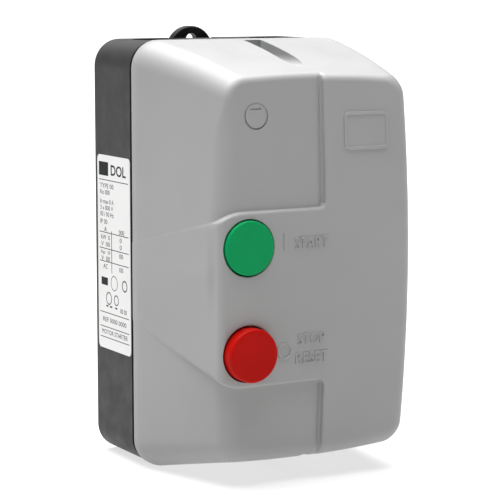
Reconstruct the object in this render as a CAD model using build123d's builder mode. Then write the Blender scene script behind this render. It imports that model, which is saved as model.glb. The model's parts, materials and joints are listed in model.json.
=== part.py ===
"""Wall-mounted enclosed motor protection starter.

A dark moulded base tub screws to the wall and carries a contactor on a mounting rail, with a thermal
overload relay plugged in below it. A pale domed cover closes the tub against a gasket and carries a green
start button and a red stop and reset button, whose rods reach a contact block and the relay's reset button.

Frame: millimetres, +Z up, +X to the right as the front is seen, and the front faces -Y. The wall plane is
Y = 0, and the origin is the centre of the back face on it. "Depth" below is the distance from the wall, so
depth d is the plane Y = -d, which Plane.XZ.offset(d) gives.
"""

import os
from math import radians, tan

from build123d import *

os.makedirs("parts", exist_ok=True)

# ---------------------------------------------------------------- driving dimensions
WIDTH = 106.0
HEIGHT = 186.0
CORNER = 12.0  # radius of the tub's four upright corners
WALL = 2.5
FLOOR = 3.0

SHOULDER = 36.5  # depth of the tub's shoulder, which carries the gasket
SEAM = 39.0  # depth of the cover's rim
LIP_END = 43.0  # the cover's walls are straight up to here, then lean in
TONGUE_INSET = 3.4
TONGUE_WALL = 1.8
GASKET_INSET = 0.9

COVER_PROUD = 0.4  # the cover's rim stands this far outside the tub
CROWN = 101.5  # depth of the cover's front at mid height
BOW = 2.5  # how far the front falls back at its top and bottom
RECESS = 2.2  # how far the two left-hand panels lie below the raised surface
FRONT_LEFT = -44.5  # the front's four corners, before rounding
FRONT_RIGHT = 48.5
FRONT_TOP = 76.5
FRONT_BOTTOM = -79.3
FRONT_SWELL = 2.6  # how far the front's four edges bulge between the corners
FRONT_CORNER = 8.0
FRONT_ROUND = 6.5
RAISED_LEFT = 4.3  # the raised strip lies right of this
BAND_TOP = 23.5  # the raised band with the buttons lies between these at the front
BAND_BOTTOM = -49.0
LEDGE_SLOPE = 0.32  # the band narrows by this, top and bottom, for each millimetre towards the rim
LEDGE_CORNER = 4.0
LEAN_FAR = -36.5  # the lowered panels' left edge runs from this, at their far corner,
LEAN_NEAR = -52.0  # to this, where it would meet the opposite corner

BUTTON_X = -30.7
START_Z = 9.5
STOP_Z = -35.1
CAP_R = 11.4
WELL_R = 12.0
WELL_WALL = 1.7
WELL_FLOOR = 88.0
WELL_FLOOR_T = 2.0
STEM_R = 3.5
START_PROUD = 1.3  # of the cover's front
STOP_PROUD = 5.2
TRAVEL = 4.0  # of both buttons

SCREW_X = 2.0  # the two cover screws
SCREW_Z = 87.0
BOSS_R = 3.6  # the bosses they screw into
GROOVE_R = 4.2  # the grooves that lead a screwdriver to them
SEAT = 46.0  # depth of the face under the screw heads
SEAT_T = 2.0

FIX_X = 43.5  # wall fixing holes, from the centre
FIX_Z = 76.0
FIX_R = 2.65

LUG_X = -5.7
LUG_R = 11.3
LUG_Z = 87.0
LUG_T = 4.0
LUG_HOLE_R = 2.75
LUG_HOLE_Z = 92.2
POCKET = 10.0  # depth of the hanger pocket

ENTRY_X = 29.5  # cable entries, thinned discs in the top and bottom walls
ENTRY_DEPTH = 20.0
ENTRY_R = 12.6
ENTRY_SKIN = 1.1

GEAR_X = -14.0  # centre line of the contactor and relay
GEAR_W = 45.0
RAIL_Z = 25.0
RAIL_H = 35.0
RAIL_DEPTH = 9.0  # depth of the rail's back
RAIL_TALL = 7.5
RAIL_T = 1.0
RAIL_LEFT = -46.0
RAIL_RIGHT = 38.0

CON_BOTTOM = -4.0
CON_TOP = 54.0
CON_BACK = 10.5
CON_SPLIT = 36.0
CON_FRONT = 63.5
POLE_PITCH = 10.5
POLES = [GEAR_X + POLE_PITCH * (i - 1.5) for i in range(4)]
PULL_IN = 4.0  # armature travel

RELAY_BOTTOM = -70.0
RELAY_TOP = -6.0
RELAY_BACK = 14.0
RELAY_SPLIT = 40.0
RELAY_FRONT = 70.0
DIAL_X = GEAR_X + 3.0
DIAL_Z = -24.0
DIAL_R = 5.0

CLEAR = 0.2


def front_depth(z):
    """Depth of the cover's raised surface at height z."""
    half = (FRONT_TOP - FRONT_BOTTOM) / 2
    middle = (FRONT_TOP + FRONT_BOTTOM) / 2
    return CROWN - BOW * ((z - middle) / half) ** 2


def block(x, z, d, mode=Mode.ADD):
    """A box over the spans x, z and depth d."""
    with Locations((sum(x) / 2, -sum(d) / 2, sum(z) / 2)):
        Box(x[1] - x[0], d[1] - d[0], z[1] - z[0], mode=mode)


def disc(x, z, d, r, mode=Mode.ADD):
    """A cylinder along Y over the depth span d."""
    with Locations((x, -sum(d) / 2, z)):
        Cylinder(r, d[1] - d[0], rotation=(90, 0, 0), mode=mode)


def ring(x, z, d, outer, inner):
    """A tube along Y."""
    disc(x, z, d, outer)
    disc(x, z, d, inner, Mode.SUBTRACT)


def outline(inset):
    """The tub's outline, moved in by inset."""
    RectangleRounded(WIDTH - 2 * inset, HEIGHT - 2 * inset, max(CORNER - inset, 1.0))


def slot_screw(x, z, under_head, tip, head_r, head_t, shank_r):
    """A slotted pan-head screw that points at the wall."""
    disc(x, z, (tip, under_head), shank_r)
    disc(x, z, (under_head, under_head + head_t), head_r)
    top = under_head + head_t
    block((x - head_r, x + head_r), (z - 0.4, z + 0.4), (top - 1.0, top + 1), Mode.SUBTRACT)


def coil(start, direction, length, radius, wire, turns):
    """Round wire wound on a circle, from start along direction."""
    run = length - wire
    first = Vector(*start) + Vector(*direction) * (wire / 2)
    with BuildPart() as wound:
        with BuildLine() as path:
            Helix(run / turns, run, radius, first, direction)
        with BuildSketch(Plane(origin=path.line @ 0, z_dir=path.line % 0)):
            Circle(wire / 2)
        sweep()
    return wound.part


def spring(x, z, d, radius, wire, turns):
    """A compression spring along Y over the depth span d."""
    return coil((x, -d[0], z), (0, -1, 0), d[1] - d[0], radius, wire, turns)


def keep(built, name):
    """Labels a finished piece and writes its file."""
    piece = built.part
    piece.label = name
    export_step(piece, f"parts/{name}.step")


# ---------------------------------------------------------------- base tub
INNER_X = WIDTH / 2 - WALL
INNER_Z = HEIGHT / 2 - WALL
POCKET_HALF = 12.0
POCKET_LOW = 73.0

with BuildPart() as base_housing:
    with BuildSketch(Plane.XZ):
        outline(0)
    extrude(amount=SHOULDER)
    fillet(base_housing.faces().sort_by(Axis.Y)[-1].edges(), 1.5)
    with BuildSketch(Plane.XZ.offset(SHOULDER)):
        outline(TONGUE_INSET)
    extrude(amount=LIP_END - 0.4 - SHOULDER)
    with BuildSketch(Plane.XZ.offset(FLOOR)):
        outline(WALL)
    extrude(amount=SHOULDER - 3 - FLOOR, mode=Mode.SUBTRACT)
    with BuildSketch(Plane.XZ.offset(SHOULDER - 3)):
        outline(TONGUE_INSET + TONGUE_WALL)
    extrude(amount=LIP_END, mode=Mode.SUBTRACT)
    # bosses for the rail screws, the earth bar and the wall fixings
    for x in (RAIL_LEFT + 5, RAIL_RIGHT - 5):
        disc(x, RAIL_Z, (FLOOR - 1, RAIL_DEPTH), 4.5)
        disc(x, RAIL_Z, (FLOOR - 1, RAIL_DEPTH), 1.65, Mode.SUBTRACT)
    for x in (25.0, 37.0):
        disc(x, -60, (FLOOR - 1, 7), 4.0)
        disc(x, -60, (FLOOR - 1, 7), 1.35, Mode.SUBTRACT)
    for x in (-FIX_X, FIX_X):
        for z in (-FIX_Z, FIX_Z):
            disc(x, z, (FLOOR - 1, FLOOR + 2), 5.5)
            disc(x, z, (-1, FLOOR + 2), FIX_R, Mode.SUBTRACT)
    # cover screw bosses, against the top and bottom walls
    for z in (-SCREW_Z, SCREW_Z):
        disc(SCREW_X, z, (FLOOR - 1, SHOULDER + 4), BOSS_R)
        disc(SCREW_X, z, (18, LIP_END), 2.4, Mode.SUBTRACT)
    # thinned cable entries, with a fine rim groove inside each
    for x in (-ENTRY_X, ENTRY_X):
        for side in (-1, 1):
            with Locations((x, -ENTRY_DEPTH, side * (HEIGHT / 2 - (WALL - ENTRY_SKIN) / 2))):
                Cylinder(ENTRY_R, WALL - ENTRY_SKIN, mode=Mode.SUBTRACT)
            with Locations((x, -ENTRY_DEPTH, side * (HEIGHT / 2 - (WALL - ENTRY_SKIN) + 0.25))):
                Cylinder(ENTRY_R - 3.2, 0.5)
    # stiffening ribs across the floor
    for z in (-52.0, 62.0):
        block((-INNER_X, INNER_X), (z - 0.8, z + 0.8), (FLOOR - 0.5, FLOOR + 2.5))
    # hanger pocket, open at the back and the top, with its own walls inside the tub
    block(
        (LUG_X - POCKET_HALF - WALL, LUG_X + POCKET_HALF + WALL),
        (POCKET_LOW - WALL, INNER_Z + 0.5),
        (FLOOR - 0.5, POCKET + WALL),
    )
    block(
        (LUG_X - POCKET_HALF, LUG_X + POCKET_HALF),
        (POCKET_LOW, HEIGHT / 2 + 2),
        (-1, POCKET),
        Mode.SUBTRACT,
    )
    for side in (-1, 1):
        x = LUG_X + side * 8.0
        disc(x, POCKET_LOW + 4.5, (LUG_T, POCKET + 1), 3.2)
        disc(x, POCKET_LOW + 4.5, (LUG_T - 1, POCKET), 1.1, Mode.SUBTRACT)
keep(base_housing, "base_housing")

with BuildPart() as hanging_lug:
    with BuildSketch(Plane.XZ):
        with Locations((LUG_X, LUG_Z)):
            Circle(LUG_R)
        with Locations((LUG_X, (POCKET_LOW + 0.3 + LUG_Z) / 2)):
            Rectangle(2 * POCKET_HALF - 0.6, LUG_Z - POCKET_LOW - 0.3 - 4)
        with Locations((LUG_X, LUG_HOLE_Z)):
            Circle(LUG_HOLE_R, mode=Mode.SUBTRACT)
    extrude(amount=LUG_T)
    for side in (-1, 1):
        disc(LUG_X + side * 8.0, POCKET_LOW + 4.5, (-1, LUG_T + 1), 1.2, Mode.SUBTRACT)
        disc(LUG_X + side * 8.0, POCKET_LOW + 4.5, (-1, 1.6), 2.4, Mode.SUBTRACT)
    outer = hanging_lug.edges().filter_by(GeomType.CIRCLE).sort_by(SortBy.RADIUS)[-2:]
    chamfer(outer, 0.5)
keep(hanging_lug, "hanging_lug")

with BuildPart() as lug_screws:
    for side in (-1, 1):
        x = LUG_X + side * 8.0
        disc(x, POCKET_LOW + 4.5, (0.2, 1.6), 2.2)
        disc(x, POCKET_LOW + 4.5, (1.6, 8.5), 1.05)
        block((x - 2.2, x + 2.2), (POCKET_LOW + 4.2, POCKET_LOW + 4.8), (0, 0.8), Mode.SUBTRACT)
keep(lug_screws, "lug_screws")

with BuildPart() as cover_gasket:
    with BuildSketch(Plane.XZ.offset(SHOULDER)):
        outline(GASKET_INSET)
        hole = TONGUE_INSET - 0.15
        RectangleRounded(
            WIDTH - 2 * hole,
            HEIGHT - 2 * hole,
            CORNER - hole,
            mode=Mode.SUBTRACT,
        )
    extrude(amount=SEAM - SHOULDER)
    for z in (-SCREW_Z, SCREW_Z):
        disc(SCREW_X, z, (SHOULDER - 1, SEAM + 1), BOSS_R + 0.15, Mode.SUBTRACT)
keep(cover_gasket, "cover_gasket")

with BuildPart() as screw_inserts:
    for z in (-SCREW_Z, SCREW_Z):
        ring(SCREW_X, z, (26, SHOULDER + 4), 2.4, 1.6)
keep(screw_inserts, "screw_inserts")

with BuildPart() as rating_label:
    with BuildSketch(Plane.YZ.offset(-WIDTH / 2)):
        with Locations((-19.9, -1.4)):
            RectangleRounded(32.6, 87.0, 2.2)
    extrude(amount=-0.2)
keep(rating_label, "rating_label")

# ---------------------------------------------------------------- rail and earth bar
with BuildPart() as mounting_rail:
    half_web = 12.5
    front = RAIL_DEPTH + RAIL_TALL
    with BuildSketch(Plane.YZ.offset(RAIL_LEFT)):
        with BuildLine():
            Polyline(
                (-front, RAIL_Z - RAIL_H / 2),
                (-front, RAIL_Z - half_web),
                (-RAIL_DEPTH - RAIL_T, RAIL_Z - half_web),
                (-RAIL_DEPTH - RAIL_T, RAIL_Z + half_web),
                (-front, RAIL_Z + half_web),
                (-front, RAIL_Z + RAIL_H / 2),
                (-front + RAIL_T, RAIL_Z + RAIL_H / 2),
                (-front + RAIL_T, RAIL_Z + half_web + RAIL_T),
                (-RAIL_DEPTH, RAIL_Z + half_web + RAIL_T),
                (-RAIL_DEPTH, RAIL_Z - half_web - RAIL_T),
                (-front + RAIL_T, RAIL_Z - half_web - RAIL_T),
                (-front + RAIL_T, RAIL_Z - RAIL_H / 2),
                close=True,
            )
        make_face()
    extrude(amount=RAIL_RIGHT - RAIL_LEFT)
    for x in (RAIL_LEFT + 5, RAIL_RIGHT - 5):
        disc(x, RAIL_Z, (RAIL_DEPTH - 1, RAIL_DEPTH + 3), 2.1, Mode.SUBTRACT)
keep(mounting_rail, "mounting_rail")

with BuildPart() as rail_screws:
    for x in (RAIL_LEFT + 5, RAIL_RIGHT - 5):
        slot_screw(x, RAIL_Z, RAIL_DEPTH + RAIL_T, FLOOR + 0.2, 3.5, 2.2, 1.6)
keep(rail_screws, "rail_screws")

with BuildPart() as earth_bar:
    block((20, 42), (-64, -56), (7, 14))
    for x in (25.0, 37.0):
        disc(x, -60, (6, 15), 1.4, Mode.SUBTRACT)
    for x in (28.9, 33.1):
        with Locations((x, -10.5, -60)):
            Cylinder(1.4, 20, mode=Mode.SUBTRACT)
keep(earth_bar, "earth_bar")

with BuildPart() as earth_screws:
    for x in (25.0, 37.0):
        slot_screw(x, -60, 14, FLOOR + 0.2, 3.0, 2.0, 1.3)
keep(earth_screws, "earth_screws")

# ---------------------------------------------------------------- contactor
GEAR_LEFT = GEAR_X - GEAR_W / 2
GEAR_RIGHT = GEAR_X + GEAR_W / 2
CORE_HALF_X = 17.0
CORE_HALF_Z = 6.0
CORE_BACK = 18.1
CORE_FACE = 32.0
ARM_FACE = CORE_FACE + PULL_IN + 0.05
BRIDGE = 52.0  # depth of the back of the moving bridges
STRIP = (46.4, 47.6)
SCREW_OFFSET = 23.0  # clamp screws, from the contactor's middle
CLIP_X = (GEAR_X - 7, GEAR_X + 7)

with BuildPart() as contactor_base:
    block((GEAR_LEFT, GEAR_RIGHT), (CON_BOTTOM, CON_TOP), (CON_BACK, CON_SPLIT))
    upright = contactor_base.edges().filter_by(Axis.Y)
    chamfer(upright, 1.2)
    # channel for the rail, and a fixed hook behind its upper flange
    rail_half = RAIL_H / 2 + CLEAR
    block(
        (GEAR_LEFT - 1, GEAR_RIGHT + 1),
        (RAIL_Z - rail_half, RAIL_Z + rail_half),
        (CON_BACK - 1, RAIL_DEPTH + RAIL_TALL + CLEAR),
        Mode.SUBTRACT,
    )
    block(
        (GEAR_X - 8, GEAR_X + 8),
        (RAIL_Z + 14.5, RAIL_Z + rail_half + 0.5),
        (CON_BACK + 1, RAIL_DEPTH + RAIL_TALL - RAIL_T - CLEAR),
    )
    # guide for the rail clip
    block(
        (CLIP_X[0] - CLEAR, CLIP_X[1] + CLEAR),
        (CON_BOTTOM - 1, RAIL_Z - rail_half + 1),
        (CON_BACK - 1, 15.6),
        Mode.SUBTRACT,
    )
    # magnet chamber
    block(
        (GEAR_X - 19.5, GEAR_X + 19.5),
        (RAIL_Z - 17, RAIL_Z + 17),
        (CORE_BACK - 0.1, CON_SPLIT + 1),
        Mode.SUBTRACT,
    )
    # slots for the two coil tabs
    for side in (-1, 1):
        x = GEAR_X + side * 15
        block((x - 3.3, x + 3.3), (RAIL_Z + 16, CON_TOP + 1), (32.9, 34.6), Mode.SUBTRACT)
keep(contactor_base, "contactor_base")

with BuildPart() as rail_clip:
    block(CLIP_X, (2.5, RAIL_Z - 14), (11.6, RAIL_DEPTH + RAIL_TALL - RAIL_T - CLEAR))
    block((GEAR_X - 4, GEAR_X + 4), (CON_BOTTOM - 4, 4), (11.6, 13.4))
    block((GEAR_X - 2, GEAR_X + 2), (CON_BOTTOM - 3, CON_BOTTOM - 1.5), (11, 14), Mode.SUBTRACT)
keep(rail_clip, "rail_clip")

with BuildPart() as fixed_core:
    z_span = (RAIL_Z - CORE_HALF_Z, RAIL_Z + CORE_HALF_Z)
    block((GEAR_X - CORE_HALF_X, GEAR_X + CORE_HALF_X), z_span, (CORE_BACK, CORE_BACK + 5))
    block((GEAR_X - 5, GEAR_X + 5), z_span, (CORE_BACK + 4, CORE_FACE))
    for side in (-1, 1):
        x = GEAR_X + side * (CORE_HALF_X - 2.5)
        block((x - 2.5, x + 2.5), z_span, (CORE_BACK + 4, CORE_FACE))
keep(fixed_core, "fixed_core")

with BuildPart() as coil_bobbin:
    low, high = CORE_BACK + 5.1, CORE_FACE - 0.4
    for d in ((low, low + 1), (high - 1, high)):
        block((GEAR_X - 11.8, GEAR_X + 11.8), (RAIL_Z - 13.5, RAIL_Z + 13.5), d)
    block((GEAR_X - 6.0, GEAR_X + 6.0), (RAIL_Z - 7.0, RAIL_Z + 7.0), (low, high))
    block((GEAR_X - 5.1, GEAR_X + 5.1), (RAIL_Z - 6.1, RAIL_Z + 6.1), (low - 1, high + 1), Mode.SUBTRACT)
keep(coil_bobbin, "coil_bobbin")

with BuildPart() as coil_winding:
    with BuildSketch(Plane.XZ.offset(CORE_BACK + 6.15)):
        with Locations((GEAR_X, RAIL_Z)):
            RectangleRounded(22.4, 25.6, 4)
            Rectangle(12.1, 14.1, mode=Mode.SUBTRACT)
    extrude(amount=CORE_FACE - 0.4 - 1.05 - (CORE_BACK + 6.15))
keep(coil_winding, "coil_winding")

with BuildPart() as coil_tabs:
    for side in (-1, 1):
        x = GEAR_X + side * 15
        block((x - 3.1, x + 3.1), (RAIL_Z + 17.5, CON_TOP + 5), (33.3, 34.1))
        with Locations((x, -33.7, CON_TOP + 3)):
            Cylinder(0.9, 3, rotation=(90, 0, 0), mode=Mode.SUBTRACT)
keep(coil_tabs, "coil_tabs")

with BuildPart() as contactor_head:
    block((GEAR_LEFT, GEAR_RIGHT), (CON_BOTTOM, CON_TOP), (CON_SPLIT, CON_FRONT))
    chamfer(contactor_head.edges().filter_by(Axis.Y), 1.2)
    block(
        (GEAR_X - 20.7, GEAR_X + 20.7),
        (RAIL_Z - 15.5, RAIL_Z + 15.5),
        (CON_SPLIT - 1, CON_FRONT - 1.8),
        Mode.SUBTRACT,
    )
    block((GEAR_X - 5.2, GEAR_X + 5.2), (RAIL_Z - 3.2, RAIL_Z + 3.2), (60, CON_FRONT + 1), Mode.SUBTRACT)
    for x in POLES:
        for side in (-1, 1):
            z_in = RAIL_Z + side * 17.0
            z_out = RAIL_Z + side * 30.0
            block((x - 4.2, x + 4.2), sorted((z_in, z_out)), (44.0, 57.0), Mode.SUBTRACT)
            z_cut = sorted((RAIL_Z + side * 15, z_in + side))
            block((x - 3.7, x + 3.7), z_cut, (46.2, 47.8), Mode.SUBTRACT)
            disc(x, RAIL_Z + side * SCREW_OFFSET, (56, CON_FRONT + 1), 3.4, Mode.SUBTRACT)
keep(contactor_head, "contactor_head")

with BuildPart() as contactor_terminals:
    for x in POLES:
        for side in (-1, 1):
            z_span = sorted((RAIL_Z + side * 9.0, RAIL_Z + side * 28.0))
            block((x - 3.5, x + 3.5), z_span, STRIP)
            disc(x, RAIL_Z + side * 12.0, (STRIP[1], STRIP[1] + 0.3), 2.0)
keep(contactor_terminals, "contactor_terminals")

with BuildPart() as clamp_nuts:
    for x in POLES:
        for side in (-1, 1):
            z = RAIL_Z + side * SCREW_OFFSET
            block((x - 4.1, x + 4.1), (z - 3.6, z + 3.6), (50.2, 52.0))
            disc(x, z, (49, 53), 1.75, Mode.SUBTRACT)
keep(clamp_nuts, "clamp_nuts")

with BuildPart() as contactor_screws:
    for x in POLES:
        for side in (-1, 1):
            slot_screw(x, RAIL_Z + side * SCREW_OFFSET, 54.2, 50.2, 3.1, 2.4, 1.65)
keep(contactor_screws, "contactor_screws")

with BuildPart() as armature:
    z_span = (RAIL_Z - CORE_HALF_Z, RAIL_Z + CORE_HALF_Z)
    block((GEAR_X - CORE_HALF_X, GEAR_X + CORE_HALF_X), z_span, (ARM_FACE + 3, ARM_FACE + 8))
    for x, half in ((GEAR_X, 5), (GEAR_X - 14.5, 2.5), (GEAR_X + 14.5, 2.5)):
        block((x - half, x + half), z_span, (ARM_FACE, ARM_FACE + 4))
keep(armature, "armature")

with BuildPart() as contact_carrier:
    cap = ARM_FACE + 8
    block((GEAR_X - 19.4, GEAR_X + 19.4), (RAIL_Z - 7.4, RAIL_Z + 7.4), (cap - 4.5, 50))
    block(
        (GEAR_X - CORE_HALF_X - 0.05, GEAR_X + CORE_HALF_X + 0.05),
        (RAIL_Z - CORE_HALF_Z - 0.05, RAIL_Z + CORE_HALF_Z + 0.05),
        (cap - 5, cap + 0.02),
        Mode.SUBTRACT,
    )
    for x in POLES:
        block((x - 4.9, x + 4.9), (RAIL_Z - 4, RAIL_Z + 4), (49.5, 59))
        block((x - 3.7, x + 3.7), (RAIL_Z - 5, RAIL_Z + 5), (BRIDGE - 0.05, 57.5), Mode.SUBTRACT)
    block((GEAR_X - 4.8, GEAR_X + 4.8), (RAIL_Z - 2.8, RAIL_Z + 2.8), (57.5, CON_FRONT - 0.3))
    block((GEAR_X - 1.4, GEAR_X + 1.4), (RAIL_Z - 2.8, RAIL_Z + 2.8), (49.5, 58))
    # wings that the two return springs push on
    for side in (-1, 1):
        z_span = sorted((RAIL_Z + side * 7, RAIL_Z + side * 13))
        block((GEAR_X - 3.5, GEAR_X + 3.5), z_span, (cap - 4.5, cap - 2.5))
keep(contact_carrier, "contact_carrier")

with BuildPart() as moving_bridges:
    for x in POLES:
        block((x - 3.4, x + 3.4), (RAIL_Z - 14.5, RAIL_Z + 14.5), (BRIDGE, BRIDGE + 1.1))
keep(moving_bridges, "moving_bridges")

wound = [spring(x, RAIL_Z, (BRIDGE + 1.15, 57.45), 2.1, 0.6, 3) for x in POLES]
with BuildPart() as bridge_springs:
    add(wound)
keep(bridge_springs, "bridge_springs")

spring_span = (CORE_FACE - 0.35, ARM_FACE + 3.45)
wound = [spring(GEAR_X, RAIL_Z + side * 10, spring_span, 2.3, 0.5, 5) for side in (-1, 1)]
with BuildPart() as return_springs:
    add(wound)
keep(return_springs, "return_springs")

# ---------------------------------------------------------------- start contact block
BLOCK_X = (BUTTON_X - 5.8, BUTTON_X + 5.8)
BLOCK_Z = (5.8, 44.2)
BLOCK_FRONT = 77.0
CHAMBER_X = (BUTTON_X - 4.8, BUTTON_X + 4.8)
STRAP = (67.0, 67.8)
START_TIP = 81.5
BLOCK_SCREWS = ((BUTTON_X - 2.3, 36.0), (BUTTON_X + 2.3, 28.0))

with BuildPart() as start_block:
    block(BLOCK_X, BLOCK_Z, (CON_FRONT, BLOCK_FRONT))
    chamfer(start_block.edges().filter_by(Axis.Y), 0.8)
    block(CHAMBER_X, (6.9, 15.0), (65.3, 75.4), Mode.SUBTRACT)
    disc(BUTTON_X, START_Z, (75, 78), 2.6, Mode.SUBTRACT)
    block(CHAMBER_X, (6.9, 39.5), (STRAP[0] - 0.1, STRAP[1] + 0.2), Mode.SUBTRACT)
    block(CHAMBER_X, (24.5, 45), (STRAP[1], 71.5), Mode.SUBTRACT)
    for x, z in BLOCK_SCREWS:
        disc(x, z, (71, 78), 2.4, Mode.SUBTRACT)
keep(start_block, "start_block")

with BuildPart() as start_straps:
    block((BUTTON_X - 4.6, BUTTON_X - 2.7), (7.5, 39), STRAP)
    block((BUTTON_X - 4.6, BUTTON_X - 0.2), (33.2, 39), STRAP)
    block((BUTTON_X + 2.7, BUTTON_X + 4.6), (7.5, 31), STRAP)
    block((BUTTON_X + 0.2, BUTTON_X + 4.6), (25.2, 31), STRAP)
keep(start_straps, "start_straps")

with BuildPart() as start_block_screws:
    for x, z in BLOCK_SCREWS:
        slot_screw(x, z, 72.5, STRAP[1] + 0.05, 2.2, 1.8, 1.2)
keep(start_block_screws, "start_block_screws")

with BuildPart() as start_plunger:
    block((BUTTON_X - 3.2, BUTTON_X + 3.2), (7.1, 12.0), (STRAP[1] + TRAVEL + 0.9, 75.3))
    disc(BUTTON_X, START_Z, (73.5, START_TIP), 2.4)
    fillet(start_plunger.faces().sort_by(Axis.Y)[0].edges(), 0.6)
keep(start_plunger, "start_plunger")

with BuildPart() as start_bridge:
    back = STRAP[1] + TRAVEL + 0.1
    block((BUTTON_X - 4.5, BUTTON_X + 4.5), (8.0, 11.0), (back, back + 0.8))
keep(start_bridge, "start_bridge")

wound = spring(BUTTON_X, START_Z, (65.35, STRAP[1] + TRAVEL + 0.05), 2.0, 0.4, 4)
with BuildPart() as start_plunger_spring:
    add(wound)
keep(start_plunger_spring, "start_plunger_spring")

# ---------------------------------------------------------------- overload relay
HEATERS = POLES[:3]
HEATER_DEPTH = 25.0
PIN_DEPTH = (STRIP[1] + 50.2) / 2
LOAD_Z = -62.0
LOAD_STRAP = (54.0, 55.2)
AUX_X = 3.0
AUX_Z = (-16.0, -28.0, -40.0, -50.0)
RESET_TIP = 74.5
SHELF = (53.0, 54.5)
FREE_END = -12.0  # height of the bimetals' free ends
ROOT = -50.0

with BuildPart() as relay_body:
    block((GEAR_LEFT, GEAR_RIGHT), (RELAY_BOTTOM, RELAY_TOP), (RELAY_BACK, RELAY_SPLIT))
    chamfer(relay_body.edges().filter_by(Axis.Y), 1.2)
    z_span = (RELAY_BOTTOM + 1.5, RELAY_TOP - 1.5)
    for x in HEATERS:
        block((x - 4.6, x + 4.6), z_span, (RELAY_BACK + 2, RELAY_SPLIT + 1), Mode.SUBTRACT)
    block((-2.9, 7.0), z_span, (RELAY_BACK + 2, RELAY_SPLIT + 1), Mode.SUBTRACT)
    # notches that guide the trip slider
    z_span = (FREE_END - 2.4, FREE_END + 0.4)
    block((HEATERS[0] - 4.6, -2), z_span, (27.9, 30.7), Mode.SUBTRACT)
keep(relay_body, "relay_body")

with BuildPart() as relay_front:
    block((GEAR_LEFT, GEAR_RIGHT), (RELAY_BOTTOM, RELAY_TOP), (RELAY_SPLIT, RELAY_FRONT))
    chamfer(relay_front.edges().filter_by(Axis.Y), 1.2)
    chamfer(relay_front.faces().sort_by(Axis.Y)[0].edges(), 0.8)
    z_span = (-54, RELAY_TOP - 1.5)
    block((GEAR_LEFT + 1.5, -2), z_span, (RELAY_SPLIT - 1, RELAY_FRONT - 2), Mode.SUBTRACT)
    block((-3, GEAR_RIGHT - 1.5), z_span, (RELAY_SPLIT - 1, 52), Mode.SUBTRACT)
    for x in HEATERS:
        block((x - 4.2, x + 4.2), (RELAY_BOTTOM - 1, -56), (53, 60.5), Mode.SUBTRACT)
        block((x - 3.5, x + 3.5), (-57, -53), (LOAD_STRAP[0] - 0.1, LOAD_STRAP[1] + 0.1), Mode.SUBTRACT)
        disc(x, LOAD_Z, (60, RELAY_FRONT + 1), 3.4, Mode.SUBTRACT)
        with Locations((x, -PIN_DEPTH, RELAY_TOP)):
            Cylinder(1.4, 8, mode=Mode.SUBTRACT)
    for z in AUX_Z:
        block((-1.2, GEAR_RIGHT + 1), (z - 3.4, z + 3.4), (56, 61.5), Mode.SUBTRACT)
        disc(AUX_X, z, (61, RELAY_FRONT + 1), 2.6, Mode.SUBTRACT)
    disc(BUTTON_X, STOP_Z, (66, RELAY_FRONT + 1), 3.4, Mode.SUBTRACT)
    disc(DIAL_X, DIAL_Z, (66, RELAY_FRONT + 1), DIAL_R + CLEAR, Mode.SUBTRACT)
    # shelf under the reset button, and the beam that steadies the dial
    block((GEAR_LEFT + 1, -25.5), (STOP_Z - 5, STOP_Z + 5), SHELF)
    disc(BUTTON_X, STOP_Z, (50, 56), 1.8, Mode.SUBTRACT)
    block((DIAL_X - 4, -1.5), (DIAL_Z - 2.5, DIAL_Z + 2.5), (57, 59))
    disc(DIAL_X, DIAL_Z, (55, 60), 2.2, Mode.SUBTRACT)
keep(relay_front, "relay_front")

with BuildPart() as relay_pins:
    for x in HEATERS:
        with Locations((x, -PIN_DEPTH, (-12.4 + 4) / 2)):
            Cylinder(1.25, 4 + 12.4)
        block((x - 2, x + 2), (-12.8, -11.8), (33, PIN_DEPTH + 0.6))
        block((x - 2, x + 2), (-46, -11.8), (33, 34))
        block((x - 1, x + 1), (-46, -45), (29.6, 34))
keep(relay_pins, "relay_pins")

with BuildPart() as relay_bimetals:
    for x in HEATERS:
        block((x - 0.4, x + 0.4), (ROOT, FREE_END), (HEATER_DEPTH - 3, HEATER_DEPTH + 3))
keep(relay_bimetals, "relay_bimetals")

wound = [coil((x, -HEATER_DEPTH, -45.6), (0, 0, 1), 26, 4.0, 0.9, 9) for x in HEATERS]
with BuildPart() as relay_windings:
    add(wound)
keep(relay_windings, "relay_windings")

with BuildPart() as relay_load_straps:
    for x in HEATERS:
        block((x - 3, x + 3), (ROOT - 1.2, ROOT), (HEATER_DEPTH - 4, LOAD_STRAP[1]))
        block((x - 3.4, x + 3.4), (RELAY_BOTTOM + 1, ROOT), LOAD_STRAP)
keep(relay_load_straps, "relay_load_straps")

with BuildPart() as relay_load_nuts:
    for x in HEATERS:
        block((x - 4.1, x + 4.1), (LOAD_Z - 3.6, LOAD_Z + 3.6), (57.8, 59.6))
        disc(x, LOAD_Z, (56, 61), 1.75, Mode.SUBTRACT)
keep(relay_load_nuts, "relay_load_nuts")

with BuildPart() as relay_load_screws:
    for x in HEATERS:
        slot_screw(x, LOAD_Z, 61.8, 56.5, 3.1, 2.4, 1.65)
keep(relay_load_screws, "relay_load_screws")

with BuildPart() as relay_aux_straps:
    for z in AUX_Z:
        block((-1.0, 7.6), (z - 3.0, z + 3.0), (56.05, 57.0))
keep(relay_aux_straps, "relay_aux_straps")

with BuildPart() as relay_aux_screws:
    for z in AUX_Z:
        slot_screw(AUX_X, z, 62.5, 57.05, 2.4, 1.9, 1.4)
keep(relay_aux_screws, "relay_aux_screws")

with BuildPart() as trip_slider:
    block((HEATERS[0] - 4.2, -3.2), (FREE_END - 2, FREE_END), (28.3, 30.3))
    for x in HEATERS:
        block((x + 0.5, x + 1.7), (FREE_END - 2, FREE_END), (24.5, 29))
keep(trip_slider, "trip_slider")

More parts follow.
